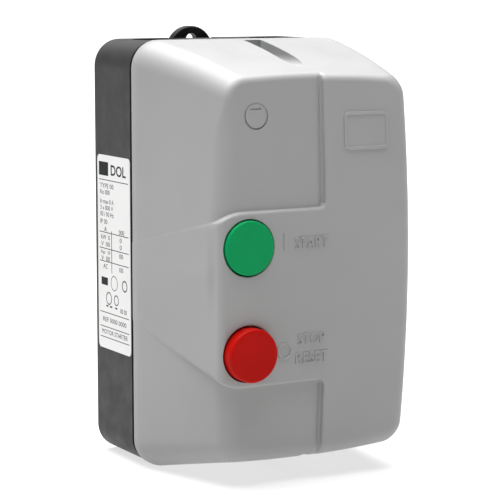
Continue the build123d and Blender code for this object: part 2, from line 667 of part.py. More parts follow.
with BuildPart() as current_dial:
    disc(DIAL_X, DIAL_Z, (60, 67), 2.0)
    disc(DIAL_X, DIAL_Z, (57.2, 61), 2.0)
    disc(DIAL_X, DIAL_Z, (66.2, RELAY_FRONT - 2.1), DIAL_R + 0.9)
    disc(DIAL_X, DIAL_Z, (67.5, RELAY_FRONT + 0.5), DIAL_R)
    front = RELAY_FRONT + 0.5
    block((DIAL_X - 0.6, DIAL_X + 0.6), (DIAL_Z - 4, DIAL_Z + 4), (front - 1, front + 1), Mode.SUBTRACT)
    disc(DIAL_X, DIAL_Z + 4.2, (front - 0.4, front + 1), 0.5, Mode.SUBTRACT)
keep(current_dial, "current_dial")

with BuildPart() as reset_button:
    disc(BUTTON_X, STOP_Z, (52, 66), 1.6)
    disc(BUTTON_X, STOP_Z, (65.5, RELAY_FRONT - 2.1), 4.2)
    disc(BUTTON_X, STOP_Z, (66, RESET_TIP), 3.2)
    fillet(reset_button.faces().sort_by(Axis.Y)[0].edges(), 0.5)
keep(reset_button, "reset_button")

wound = spring(BUTTON_X, STOP_Z, (SHELF[1] + 0.05, 65.45), 2.6, 0.5, 6)
with BuildPart() as reset_spring:
    add(wound)
keep(reset_spring, "reset_spring")


def wire(points):
    """A round insulated wire along straight runs joined by wide arcs."""
    corners = [Vector(*p) for p in points]
    runs = [b - a for a, b in zip(corners, corners[1:])]
    radii = []
    for a, b in zip(runs, runs[1:]):
        half_turn = radians(a.get_angle(b)) / 2
        radii.append(0.45 * min(a.length, b.length) / tan(half_turn))
    print("wire radii", [round(r, 1) for r in radii])
    with BuildPart() as run:
        with BuildLine() as path:
            FilletPolyline(*corners, radius=radii)
        with BuildSketch(Plane(origin=corners[0], z_dir=runs[0])):
            Circle(1.1)
        sweep()
    return run.part


block_left, block_right = BUTTON_X - 2.3, BUTTON_X + 2.3
TAB_X = GEAR_X - 15, GEAR_X + 15
routes = [
    [
        (block_left, -69.7, 38.5),
        (block_left, -69.5, 52),
        (block_left + 1.5, -60, 64),
        (TAB_X[0], -45, 68),
        (TAB_X[0], -35.3, 57),
    ],
    [
        (block_right, -69.7, 30.5),
        (block_right, -69.5, 48),
        (-18, -69, 61),
        (3, -67, 63),
        (15, -61, 52),
        (15.5, -57, 24),
        (14.5, -58, -2),
        (8.2, -58.6, AUX_Z[0]),
    ],
    [
        (TAB_X[1], -35.3, 57),
        (TAB_X[1] + 1, -35.8, 68),
        (10, -39, 74),
        (16.5, -43, 64),
        (18, -47, 42),
        (18, -49, 10),
        (18.5, -53, -18),
        (17, -57, -40),
        (8.2, -58.6, AUX_Z[3]),
    ],
]
wires = [wire(points) for points in routes]
with BuildPart() as control_wires:
    add(wires)
keep(control_wires, "control_wires")

# ---------------------------------------------------------------- cover
RIM_X = WIDTH / 2 + COVER_PROUD
RIM_Z = HEIGHT / 2 + COVER_PROUD
COVER_WALL = 2.4


def dome(inset, drop, lean, back):
    """The cover's solid form, moved in by inset, with its front lowered by drop.

    lean is 0, or +1 or -1 for the form whose left side leans further in towards the top or the bottom.
    """
    with BuildPart() as form:
        with BuildSketch(Plane.XZ.offset(back)):
            RectangleRounded(2 * (RIM_X - inset), 2 * (RIM_Z - inset), CORNER + COVER_PROUD - inset)
        extrude(amount=LIP_END - back)
        with BuildSketch(Plane.XZ.offset(LIP_END)):
            RectangleRounded(2 * (RIM_X - inset), 2 * (RIM_Z - inset), CORNER + COVER_PROUD - inset)
        right = FRONT_RIGHT - inset
        low, high = FRONT_BOTTOM + inset, FRONT_TOP - inset
        left_ends = {0: (FRONT_LEFT, FRONT_LEFT), 1: (LEAN_NEAR, LEAN_FAR), -1: (LEAN_FAR, LEAN_NEAR)}
        left_low, left_high = (x + inset for x in left_ends[lean])
        swell = FRONT_SWELL / 2 if lean else FRONT_SWELL
        middle_x, middle_z = (left_low + left_high) / 2, (low + high) / 2
        with BuildSketch(Plane.XZ.offset(CROWN)):
            with BuildLine():
                across = (left_high + right) / 2, (left_low + right) / 2
                ThreePointArc((left_low, low), (middle_x - swell, middle_z), (left_high, high))
                ThreePointArc((left_high, high), (across[0], high + FRONT_SWELL), (right, high))
                ThreePointArc((right, high), (right + FRONT_SWELL, middle_z), (right, low))
                ThreePointArc((right, low), (across[1], low - FRONT_SWELL), (left_low, low))
            front = make_face()
            fillet(front.vertices(), FRONT_CORNER - inset / 2)
        loft()
        ends = (FRONT_BOTTOM - 25, FRONT_TOP + 25)
        middle = sum(ends) / 2
        with BuildSketch(Plane.YZ.offset(-WIDTH)):
            with BuildLine():
                near = [(-(front_depth(z) - drop - inset), z) for z in (ends[0], middle, ends[1])]
                ThreePointArc(*near)
                Polyline(near[2], (-CROWN - 20, ends[1]), (-CROWN - 20, ends[0]), near[0])
            make_face()
        extrude(amount=2 * WIDTH, mode=Mode.SUBTRACT)
        fillet(form.faces().sort_by(Axis.Y)[0].edges(), FRONT_ROUND - inset / 2)
    return form.part


def cover_form(inset, back):
    """The whole cover form: low panels, with the raised strip and band on them."""
    high = dome(inset, 0, 0, back)
    upper = dome(inset, RECESS, 1, back)
    lower = dome(inset, RECESS, -1, back)
    front, rear = CROWN + 10, LIP_END - 10
    top, bottom = BAND_TOP - inset, BAND_BOTTOM + inset
    ahead, behind = LEDGE_SLOPE * (front - CROWN), LEDGE_SLOPE * (CROWN - rear)
    with BuildPart() as raised_zone:
        with BuildSketch(Plane.XZ):
            with Locations(((RAISED_LEFT + inset + 60) / 2, 0)):
                Rectangle(60 - RAISED_LEFT - inset, 220)
        extrude(amount=front)
        with BuildSketch(Plane.YZ.offset(-WIDTH)):
            with BuildLine():
                Polyline(
                    (-front, top + ahead),
                    (-rear, top - behind),
                    (-rear, bottom + behind),
                    (-front, bottom - ahead),
                    close=True,
                )
            make_face()
        extrude(amount=WIDTH + RAISED_LEFT + inset + 1)
        step = RAISED_LEFT + inset
        inner = raised_zone.edges().filter_by_position(Axis.X, step - 0.01, step + 0.01)
        inner = inner.filter_by(Axis.Z, reverse=True).filter_by(Axis.Y, reverse=True)
        fillet(inner, LEDGE_CORNER)
    with BuildPart() as form:
        add(high)
        add(raised_zone.part, mode=Mode.INTERSECT)
    with BuildPart() as top_half:
        add(upper)
        split(bisect_by=Plane.XY.offset((BAND_TOP + BAND_BOTTOM) / 2), keep=Keep.TOP)
    with BuildPart() as bottom_half:
        add(lower)
        split(bisect_by=Plane.XY.offset((BAND_TOP + BAND_BOTTOM) / 2), keep=Keep.BOTTOM)
    with BuildPart() as whole:
        add(form.part)
        add(top_half.part)
        add(bottom_half.part)
    return whole.part


outside = cover_form(0, SEAM)
inside = cover_form(COVER_WALL, SEAM - 1)
BADGE = (16.0, 38.0, 48.0, 64.0)

with BuildPart() as cover_details:
    for z in (START_Z, STOP_Z):
        disc(BUTTON_X, z, (WELL_FLOOR - WELL_FLOOR_T, CROWN + 1), WELL_R + WELL_WALL)
    for side in (-1, 1):
        z = side * SCREW_Z
        disc(SCREW_X, z, (SEAT - SEAT_T, CROWN), GROOVE_R + 1.6)
        z_span = sorted((z, side * HEIGHT / 2))
        block((SCREW_X - GROOVE_R - 1.6, SCREW_X + GROOVE_R + 1.6), z_span, (SEAT - SEAT_T, CROWN))
    add(outside, mode=Mode.INTERSECT)

with BuildPart() as cover:
    add(outside)
    add(inside, mode=Mode.SUBTRACT)
    add(cover_details.part)
    for z in (START_Z, STOP_Z):
        disc(BUTTON_X, z, (WELL_FLOOR, CROWN + 5), WELL_R, Mode.SUBTRACT)
        disc(BUTTON_X, z, (WELL_FLOOR - 5, CROWN), STEM_R + CLEAR, Mode.SUBTRACT)
    for side in (-1, 1):
        z = side * SCREW_Z
        disc(SCREW_X, z, (SEAT, CROWN + 5), GROOVE_R, Mode.SUBTRACT)
        z_span = sorted((z, side * HEIGHT))
        block((SCREW_X - GROOVE_R, SCREW_X + GROOVE_R), z_span, (SEAT, CROWN + 5), Mode.SUBTRACT)
        disc(SCREW_X, z, (SEAT - 5, SEAT + 1), 1.8, Mode.SUBTRACT)
    badge_face = front_depth((BADGE[2] + BADGE[3]) / 2) + 0.55
    with BuildSketch(Plane.XZ.offset(badge_face - 1.5)):
        with Locations(((BADGE[0] + BADGE[1]) / 2, (BADGE[2] + BADGE[3]) / 2)):
            RectangleRounded(BADGE[1] - BADGE[0], BADGE[3] - BADGE[2], 3)
    extrude(amount=1.5)
keep(cover, "cover")

with BuildPart() as cover_screws:
    for z in (-SCREW_Z, SCREW_Z):
        slot_screw(SCREW_X, z, SEAT, 28, 3.5, 2.6, 1.55)
keep(cover_screws, "cover_screws")

with BuildPart() as screw_rings:
    for z in (-SCREW_Z, SCREW_Z):
        ring(SCREW_X, z, (SEAT - SEAT_T - 0.9, SEAT - SEAT_T), 3.0, 1.6)
keep(screw_rings, "screw_rings")

# ---------------------------------------------------------------- buttons
CAP_BACK = 94.5
CLIP = (83.6, 84.8)


def push_cap(z, front, tip, edge):
    """A round button cap with a hollow back, on a stem that ends at depth tip."""
    with BuildPart() as cap:
        disc(BUTTON_X, z, (CAP_BACK, front), CAP_R)
        fillet(cap.faces().sort_by(Axis.Y)[0].edges(), edge)
        disc(BUTTON_X, z, (CAP_BACK - 1, front - 2.6), 9.6, Mode.SUBTRACT)
        disc(BUTTON_X, z, (tip, front - 1), STEM_R)
        ring_depth = (CLIP[0] - 0.1, CLIP[1] + 0.1)
        disc(BUTTON_X, z, ring_depth, STEM_R + 1, Mode.SUBTRACT)
        disc(BUTTON_X, z, (CLIP[0] - 0.5, CLIP[1] + 0.5), 2.6)
    return cap


def stem_clip(z):
    """A spring clip in the stem's groove, open on one side."""
    with BuildPart() as clip:
        ring(BUTTON_X, z, CLIP, 5.4, 2.65)
        block((BUTTON_X, BUTTON_X + 6), (z - 2.0, z + 2.0), (CLIP[0] - 1, CLIP[1] + 1), Mode.SUBTRACT)
    return clip


start_front = front_depth(START_Z) + START_PROUD
stop_front = front_depth(STOP_Z) + STOP_PROUD
start_button = push_cap(START_Z, start_front, START_TIP + 0.05, 0.9)
keep(start_button, "start_button")
stop_button = push_cap(STOP_Z, stop_front, 81.0, 1.4)
keep(stop_button, "stop_button")
start_clip = stem_clip(START_Z)
keep(start_clip, "start_clip")
stop_clip = stem_clip(STOP_Z)
keep(stop_clip, "stop_clip")

with BuildPart() as stop_rod:
    disc(BUTTON_X, STOP_Z, (RESET_TIP + 0.05, RESET_TIP + 2.5), 3.4)
    disc(BUTTON_X, STOP_Z, (RESET_TIP + 2.5, 81.0), 2.0)
keep(stop_rod, "stop_rod")

for z, front, name in ((START_Z, start_front, "start_spring"), (STOP_Z, stop_front, "stop_spring")):
    wound = spring(BUTTON_X, z, (WELL_FLOOR + 0.05, front - 2.65), 6.4, 0.9, 5)
    with BuildPart() as button_spring:
        add(wound)
    keep(button_spring, name)

for z, name in ((START_Z, "start_seal"), (STOP_Z, "stop_seal")):
    with BuildPart() as stem_seal:
        ring(BUTTON_X, z, (WELL_FLOOR, WELL_FLOOR + 1.2), 5.2, STEM_R + 0.05)
    keep(stem_seal, name)
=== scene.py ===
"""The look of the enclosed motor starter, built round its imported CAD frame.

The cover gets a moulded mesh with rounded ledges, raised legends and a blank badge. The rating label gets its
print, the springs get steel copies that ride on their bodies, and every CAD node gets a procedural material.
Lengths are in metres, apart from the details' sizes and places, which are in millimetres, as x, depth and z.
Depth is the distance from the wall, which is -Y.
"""

import json
from math import cos, pi, sin

import bmesh
import bpy
import numpy as np
from mathutils import Matrix, Vector


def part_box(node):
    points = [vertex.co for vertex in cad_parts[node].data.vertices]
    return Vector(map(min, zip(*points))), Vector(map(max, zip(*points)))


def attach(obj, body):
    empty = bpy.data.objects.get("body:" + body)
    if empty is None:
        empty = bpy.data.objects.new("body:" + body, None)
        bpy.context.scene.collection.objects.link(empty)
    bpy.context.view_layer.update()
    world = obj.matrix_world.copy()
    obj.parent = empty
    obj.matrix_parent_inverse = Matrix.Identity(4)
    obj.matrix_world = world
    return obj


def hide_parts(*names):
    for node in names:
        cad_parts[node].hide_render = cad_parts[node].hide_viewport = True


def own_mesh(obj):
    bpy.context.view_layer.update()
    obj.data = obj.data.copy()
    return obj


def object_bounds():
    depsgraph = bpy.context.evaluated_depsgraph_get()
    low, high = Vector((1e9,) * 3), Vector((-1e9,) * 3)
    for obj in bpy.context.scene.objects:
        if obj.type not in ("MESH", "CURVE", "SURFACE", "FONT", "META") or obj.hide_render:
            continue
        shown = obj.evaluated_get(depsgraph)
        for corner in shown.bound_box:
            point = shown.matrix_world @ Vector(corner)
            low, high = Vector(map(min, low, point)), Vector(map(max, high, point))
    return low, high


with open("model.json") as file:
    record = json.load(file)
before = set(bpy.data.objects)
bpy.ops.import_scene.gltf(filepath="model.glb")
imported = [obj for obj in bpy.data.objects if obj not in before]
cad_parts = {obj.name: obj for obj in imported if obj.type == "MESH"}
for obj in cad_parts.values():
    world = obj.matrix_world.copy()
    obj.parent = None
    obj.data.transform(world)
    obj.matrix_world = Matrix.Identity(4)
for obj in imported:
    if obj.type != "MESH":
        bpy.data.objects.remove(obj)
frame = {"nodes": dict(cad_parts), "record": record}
CAD_BOX = [list(corner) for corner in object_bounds()]
MM = 0.001
MERGE = 1e-7  # points of a turned solid that are this close are one point
SLIVER = 1e-8
NOISE_SPREAD = (0.3, 0.7)  # nearly all of a noise texture's values lie between these
COLOUR_A, COLOUR_B, COLOUR_OUT = 6, 7, 2  # a mix node's sockets for colours
VALUE_A, VALUE_B, VALUE_OUT = 2, 3, 0  # and for plain values
MIX_SHARE = 0


def span(node):
    """A node's lowest and highest corner in millimetres."""
    return [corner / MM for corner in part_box(node)]


# ---------------------------------------------------------------- materials
def node_chain(name):
    """A new material's node tree, its shader, and object coordinates."""
    material = bpy.data.materials.new(name)
    material.use_nodes = True
    tree = material.node_tree
    place = tree.nodes.new("ShaderNodeTexCoord")
    return material, tree, tree.nodes["Principled BSDF"], place.outputs["Object"]


def noise(tree, place, scale, detail=3.0):
    """A noise texture's value, with scale in features per metre."""
    texture = tree.nodes.new("ShaderNodeTexNoise")
    texture.inputs["Scale"].default_value = scale
    texture.inputs["Detail"].default_value = detail
    tree.links.new(place, texture.inputs["Vector"])
    return texture.outputs["Fac"]


def between(tree, value, low, high):
    """Maps a noise value to the range low to high."""
    ramp = tree.nodes.new("ShaderNodeMapRange")
    ramp.inputs["From Min"].default_value = NOISE_SPREAD[0]
    ramp.inputs["From Max"].default_value = NOISE_SPREAD[1]
    ramp.inputs["To Min"].default_value = low
    ramp.inputs["To Max"].default_value = high
    tree.links.new(value, ramp.inputs["Value"])
    return ramp.outputs["Result"]


def add_bump(tree, shader, height, depth, previous=None):
    """Raises the surface by a height value, over depth in metres, on top of a previous bump's normal."""
    bump = tree.nodes.new("ShaderNodeBump")
    bump.inputs["Distance"].default_value = depth
    tree.links.new(height, bump.inputs["Height"])
    if previous:
        tree.links.new(previous, bump.inputs["Normal"])
    tree.links.new(bump.outputs["Normal"], shader.inputs["Normal"])
    return bump.outputs["Normal"]


def finish_material(
    name,
    colour,
    rough,
    grain=(900, 0.00002),
    mottle=(40, 0.05),
    metallic=0.0,
    specular=0.5,
):
    """A surface with fine grain, uneven roughness and a slight drift in colour.

    rough is the lowest and highest roughness, grain is features per metre and depth in metres, and mottle is
    features per metre and the share by which the colour drifts.
    """
    per_metre, depth = grain
    patches, swing = mottle
    material, tree, shader, place = node_chain(name)
    shader.inputs["Metallic"].default_value = metallic
    shader.inputs["Specular IOR Level"].default_value = specular
    drift = noise(tree, place, patches, 4.0)
    mix = tree.nodes.new("ShaderNodeMix")
    mix.data_type = "RGBA"
    mix.inputs[COLOUR_A].default_value = [c * (1 - swing) for c in colour] + [1]
    mix.inputs[COLOUR_B].default_value = [min(1, c * (1 + swing)) for c in colour] + [1]
    tree.links.new(between(tree, drift, 0, 1), mix.inputs[MIX_SHARE])
    tree.links.new(mix.outputs[COLOUR_OUT], shader.inputs["Base Color"])
    fine = noise(tree, place, per_metre, 2.0)
    cloudy = noise(tree, place, patches * 3, 3.0)
    tree.links.new(between(tree, cloudy, *rough), shader.inputs["Roughness"])
    normal = add_bump(tree, shader, fine, depth)
    add_bump(tree, shader, cloudy, depth * 0.8, normal)
    return material


def banded(name, colour, rough, metallic, pitch, depth, axis):
    """Stacked laminations or laid turns: ridges at a pitch in metres along an axis."""
    material = finish_material(name, colour, rough, metallic=metallic)
    tree = material.node_tree
    shader = tree.nodes["Principled BSDF"]
    wave = tree.nodes.new("ShaderNodeTexWave")
    wave.bands_direction = axis
    wave.inputs["Scale"].default_value = pi / (10 * pitch)  # a wave texture has 10 / pi ridges per unit
    wave.inputs["Distortion"].default_value = 0.4
    place = next(n for n in tree.nodes if n.type == "TEX_COORD").outputs["Object"]
    tree.links.new(place, wave.inputs["Vector"])
    previous = shader.inputs["Normal"].links[0].from_socket
    add_bump(tree, shader, wave.outputs["Fac"], depth, previous)
    return material


LOOKS = {
    "tub_plastic": dict(colour=(0.028, 0.028, 0.029), rough=(0.45, 0.6), grain=(1100, 4e-5), specular=0.3),
    "lug_plastic": dict(colour=(0.01, 0.01, 0.011), rough=(0.4, 0.55), specular=0.25),
    "cover_plastic": dict(
        colour=(0.305, 0.307, 0.305), rough=(0.4, 0.5), grain=(1400, 1e-5), mottle=(25, 0.02), specular=0.4
    ),
    "green_plastic": dict(
        colour=(0.002, 0.27, 0.085), rough=(0.4, 0.5), grain=(1400, 1e-5), mottle=(60, 0.06), specular=0.08
    ),
    "red_plastic": dict(
        colour=(0.4, 0.003, 0.001), rough=(0.4, 0.5), grain=(1400, 1e-5), mottle=(60, 0.06), specular=0.08
    ),
    "label_film": dict(colour=(0.7, 0.7, 0.695), rough=(0.3, 0.4), grain=(500, 6e-6), mottle=(30, 0.02)),
    "print_ink": dict(colour=(0.012, 0.012, 0.013), rough=(0.5, 0.6), grain=(900, 4e-6), specular=0.1),
    "black_rubber": dict(colour=(0.018, 0.018, 0.018), rough=(0.6, 0.8), grain=(1500, 5e-5)),
    "dark_plastic": dict(colour=(0.04, 0.041, 0.044), rough=(0.4, 0.55), grain=(1000, 3e-5)),
    "grey_plastic": dict(colour=(0.3, 0.31, 0.31), rough=(0.4, 0.52), grain=(1000, 3e-5)),
    "ivory_plastic": dict(colour=(0.72, 0.68, 0.55), rough=(0.35, 0.5), grain=(1000, 2e-5)),
    "blue_plastic": dict(colour=(0.02, 0.1, 0.42), rough=(0.3, 0.42), grain=(1000, 2e-5)),
    "wire_insulation": dict(colour=(0.025, 0.025, 0.028), rough=(0.4, 0.55)),
    "zinc_steel": dict(
        colour=(0.62, 0.63, 0.66), rough=(0.24, 0.42), grain=(700, 1e-5), mottle=(120, 0.08), metallic=1.0
    ),
    "spring_steel": dict(
        colour=(0.5, 0.5, 0.52), rough=(0.2, 0.34), grain=(1500, 1e-5), mottle=(200, 0.08), metallic=1.0
    ),
    "brass": dict(
        colour=(0.78, 0.6, 0.27), rough=(0.24, 0.4), grain=(700, 1e-5), mottle=(150, 0.1), metallic=1.0
    ),
    "copper": dict(
        colour=(0.78, 0.42, 0.26), rough=(0.26, 0.42), grain=(700, 1e-5), mottle=(150, 0.12), metallic=1.0
    ),
    "heater_wire": dict(
        colour=(0.42, 0.38, 0.33), rough=(0.35, 0.55), grain=(900, 2e-5), mottle=(200, 0.15), metallic=1.0
    ),
}
MATERIALS = {name: finish_material(name, **look) for name, look in LOOKS.items()}
MATERIALS["coil_copper"] = banded(
    "coil_copper", (0.5, 0.2, 0.09), (0.25, 0.4), metallic=0.6, pitch=0.0005, depth=0.0002, axis="Y"
)
MATERIALS["magnet_steel"] = banded(
    "magnet_steel", (0.34, 0.34, 0.36), (0.3, 0.45), metallic=1.0, pitch=0.0006, depth=0.00012, axis="Z"
)

for row in frame["record"]["subparts"]:
    node = frame["nodes"][row["node"]]
    look = "coil_copper" if row["node"] == "coil_winding" else row["material_slot"]
    node.data.materials.clear()
    node.data.materials.append(MATERIALS[look])


# ---------------------------------------------------------------- making pieces
def link(name, mesh, look, body):
    """Puts a finished mesh in the scene as a piece that rides on a body."""
    piece = bpy.data.objects.new(name, mesh)
    bpy.context.scene.collection.objects.link(piece)
    mesh.materials.clear()
    mesh.materials.append(MATERIALS[look])
    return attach(piece, body)


def mesh_from(name, points, faces):
    """A mesh of points in millimetres as x, depth, z."""
    mesh = bpy.data.meshes.new(name)
    places = np.array(points, float) * MM
    places[:, 1] *= -1
    mesh.from_pydata(places.tolist(), [], faces)
    mesh.update()
    return mesh


def smooth(mesh, angle):
    """Smooth shading, with edges that turn by more than angle, in radians, left crisp."""
    mesh.shade_smooth()
    mesh.set_sharp_from_angle(angle=angle)


def lathe(name, x, z, profile, steps=96):
    """A closed solid turned about the Y axis at x, z from a profile of radius and depth, in millimetres."""
    points, faces = [], []
    count = len(profile)
    for i in range(steps):
        a = 2 * pi * i / steps
        points += [(x + r * cos(a), d, z + r * sin(a)) for r, d in profile]
    for i in range(steps):
        j = (i + 1) % steps
        for k in range(count):
            n = (k + 1) % count
            faces.append((i * count + k, i * count + n, j * count + n, j * count + k))
    mesh = mesh_from(name, points, faces)
    form = bmesh.new()
    form.from_mesh(mesh)
    bmesh.ops.remove_doubles(form, verts=form.verts, dist=MERGE)
    bmesh.ops.dissolve_degenerate(form, edges=form.edges, dist=SLIVER)
    bmesh.ops.recalc_face_normals(form, faces=form.faces)
    form.to_mesh(mesh)
    form.free()
    return mesh


def rounded_outline(width, height, radius, steps=8):
    """A rounded rectangle's points about its centre, anticlockwise."""
    places = []
    for k, (sx, sy) in enumerate(((1, 1), (-1, 1), (-1, -1), (1, -1))):
        for i in range(steps + 1):
            a = pi / 2 * (k + i / steps)
            x = sx * (width / 2 - radius) + radius * cos(a)
            y = sy * (height / 2 - radius) + radius * sin(a)
            places.append((x, y))
    return places


def stacked(name, layers):
    """A closed solid through outlines of equal length; each layer is a list of x, depth, z points."""
    count = len(layers[0])
    points = [p for layer in layers for p in layer]
    faces = [tuple(range(count))[::-1]]
    for k in range(len(layers) - 1):
        for i in range(count):
            j = (i + 1) % count
            faces.append((k * count + i, k * count + j, (k + 1) * count + j, (k + 1) * count + i))
    faces.append(tuple(range((len(layers) - 1) * count, len(layers) * count)))
    mesh = mesh_from(name, points, faces)
    form = bmesh.new()
    form.from_mesh(mesh)
    bmesh.ops.recalc_face_normals(form, faces=form.faces)
    form.to_mesh(mesh)
    form.free()
    return mesh


def boolean(base, cutters, operation):
    """The mesh left after adding, cutting or keeping what is common with each cutter in turn."""
    for cutter in cutters:
        target = bpy.data.objects.new("target", base)
        tool = bpy.data.objects.new("tool", cutter)
        for o in (target, tool):
            bpy.context.scene.collection.objects.link(o)
        step = target.modifiers.new("step", "BOOLEAN")
        step.operation = operation
        step.object = tool
        step.solver = "MANIFOLD"
        graph = bpy.context.evaluated_depsgraph_get()
        base = bpy.data.meshes.new_from_object(target.evaluated_get(graph))
        for o in (target, tool):
            bpy.data.objects.remove(o)
    return base


# ---------------------------------------------------------------- the cover's form, in millimetres
LOW, HIGH = span("cover")
RIM_X, RIM_Z = HIGH.x, HIGH.z
SEAM, CROWN = -HIGH.y, -LOW.y
WALL = 2.4
RIM_CORNER = 12.4
LIP_END = SEAM + 4  # the walls stand straight up to this depth, then lean in
BOW = 2.5  # how far the front falls back at its top and bottom
RECESS = 2.2  # how far the two left-hand panels lie below the raised surface
FRONT = {"left": -44.5, "right": 48.5, "bottom": -79.3, "top": 75.8}
FRONT_SWELL = 2.6  # how far the front's edges bulge between its corners
FRONT_CORNER = 8.0
FRONT_ROUND = 6.5
TOP_ROUND = 2.4  # the front's top edge is rounded less than its other edges
TOP_ROUND_Z = (56.0, 70.0)  # the radius falls to that between these heights,
TOP_ROUND_X = (38.0, 46.0)  # and rises again between these, towards the right edge
TOP_BULGE = 1.5  # how far the top wall stands out between the rim and the front
LEAN_FAR, LEAN_NEAR = -36.5, -52.0  # the low panels' left edge, at their far corner and opposite it
RAISED_LEFT = 6.2  # the raised strip lies right of this
BAND_LOW, BAND_HIGH = -50.1, 24.7  # the raised band with the buttons, at the front
BAND_LEFT = -43.6
BAND_SWELL = 0.5
BAND_ROUND = 2.6  # of its left edge; the radius grows to the front's own
BAND_ROUND_X = (-34.0, -4.0)  # between these
LEDGE_SLOPE = (0.3, 0.235)  # the bottom and top ledges close in by this for each millimetre towards the rim
TURN_START, TURN_REACH, TURN_BEND = -33.0, 10.5, 0.0265  # both ledges curve inwards round the left edge
LEDGE_CORNER = 2.5
LEDGE_ROUND = 1.8
LEDGE_HOLLOW = 0.7
HOLLOW_FADE = 6.0  # the hollow under the ledges fades out this close to the front's ends,
HOLLOW_LEAST = 0.02  # to this share
STEP_X, STEP_R, STEP_RISE = 5.7, 0.85, 0.45  # a shallow round groove along the foot of the upright step
STEP_STOP = 1.5  # it ends this far short of the ledges,
STEP_END, STEP_MOUTH = 1.0, 0.5  # and its ends and its mouth are rounded to these


def round_max(a, b, r):
    """The larger of two fields, with the edge where they meet rounded to radius r."""
    return np.minimum(-r, np.maximum(a, b)) + np.hypot(np.maximum(a + r, 0), np.maximum(b + r, 0))


def round_min(a, b, r):
    """The smaller of two fields, with the hollow where they meet filled to radius r."""
    return -round_max(-a, -b, r)


def progress(value, limits):
    """How far a value lies between two limits, from 0 to 1."""
    return np.clip((value - limits[0]) / (limits[1] - limits[0]), 0, 1)


def front_depth(z):
    """Depth of the raised surface at height z."""
    half = (FRONT["top"] - FRONT["bottom"]) / 2
    return CROWN - BOW * ((z - (FRONT["top"] + FRONT["bottom"]) / 2) / half) ** 2


def side_walls(x, z, d, left_at):
    """How far a point is outside the leaning walls; left_at(up) is the front's left edge, for up -1 to 1."""
    t = np.clip((d - LIP_END) / (CROWN - LIP_END), 0, 1.1)

    def blend(rim, front):
        return rim + t * (front - rim)

    mid_x, half_x = (FRONT["right"] + FRONT["left"]) / 2, (FRONT["right"] - FRONT["left"]) / 2
    mid_z, half_z = (FRONT["top"] + FRONT["bottom"]) / 2, (FRONT["top"] - FRONT["bottom"]) / 2
    up = np.clip((z - blend(0, mid_z)) / blend(RIM_Z, half_z), -1, 1)
    over = np.clip((x - blend(0, mid_x)) / blend(RIM_X, half_x), -1, 1)
    swell_up, swell_over = FRONT_SWELL * (1 - up**2), FRONT_SWELL * (1 - over**2)
    left = blend(-RIM_X, left_at(up))
    right = blend(RIM_X, FRONT["right"] + swell_up)
    top = blend(RIM_Z, FRONT["top"] + swell_over) + 4 * TOP_BULGE * t * np.maximum(0, 1 - t)
    bottom = blend(-RIM_Z, FRONT["bottom"] - swell_over)
    across = np.maximum(left - x, x - right)
    along = np.maximum(bottom - z, z - top)
    return round_max(across, along, blend(RIM_CORNER, FRONT_CORNER))


def raised_left(up):
    """The front's left edge on the raised form."""
    return BAND_LEFT - BAND_SWELL * (1 - up**2)


def lowered_left(up):
    """The front's left edge on the two low panels, which leans in towards the top and the bottom."""
    return LEAN_NEAR + (LEAN_FAR - LEAN_NEAR) * (1 + np.abs(up)) / 2 - FRONT_SWELL / 2 * (1 - up**2)


def cover_field(x, z, d):
    """Below zero inside the cover's solid form and above it outside."""
    front = d - front_depth(z)
    tight = progress(z, TOP_ROUND_Z) * (1 - progress(x, TOP_ROUND_X))
    edge = FRONT_ROUND + tight * (TOP_ROUND - FRONT_ROUND)
    raised_edge = BAND_ROUND + progress(x, BAND_ROUND_X) * (edge - BAND_ROUND)
    high = round_max(side_walls(x, z, d, raised_left), front, raised_edge)
    low = round_max(side_walls(x, z, d, lowered_left), front + RECESS, edge)
    turned = TURN_BEND * np.clip(TURN_START - x, 0, TURN_REACH) ** 2
    bottom, top = (turned + slope * (CROWN - d) for slope in LEDGE_SLOPE)
    band = np.maximum(z - BAND_HIGH + top, BAND_LOW + bottom - z)
    zone = round_min(RAISED_LEFT - x, band, LEDGE_CORNER)
    fade = np.clip(np.minimum(FRONT["top"] - z, z - FRONT["bottom"]) / HOLLOW_FADE, HOLLOW_LEAST, 1)
    whole = round_min(low, round_max(high, zone, LEDGE_ROUND), LEDGE_HOLLOW * fade)
    groove = STEP_R - np.hypot(x - STEP_X, front + RECESS - STEP_RISE)
    return round_max(whole, round_min(groove, band - STEP_STOP, STEP_END), STEP_MOUTH)


def spaced(knots, steps):
    """Grid lines through knots, with steps of even length between each pair."""
    parts = [np.linspace(a, b, n, endpoint=False) for a, b, n in zip(knots, knots[1:], steps)]
    return np.append(np.concatenate(parts), knots[-1])


# the cover's surface is found along rays from a core inside it to a box-shaped grid outside it, which is
# closest where the form turns sharply
GRID_X = spaced((-RIM_X - 1, -30, RAISED_LEFT - 1.5, RAISED_LEFT + 2.5, 34, RIM_X + 1), (34, 26, 18, 20, 24))
GRID_Z = spaced(
    (-RIM_Z - 1, -66, BAND_LOW - 2, BAND_LOW + 5, BAND_HIGH - 5, BAND_HIGH + 2, 62, 75, 84, RIM_Z + 1),
    (34, 10, 22, 40, 22, 22, 16, 18, 12),
)
GRID_DEPTH = spaced((SEAM, LIP_END, 84, CROWN - 4, CROWN + 1), (3, 18, 10, 3))
RIM_KNOTS_Z = (-RIM_Z - 1, -29.6, 8.0, RIM_Z + 1)  # where the grid's lines along the ledges meet the rim
CORE_X, CORE_DEPTH, CORE_Z = (-31, 36), 84, (-62, 60)
HALVINGS = 36


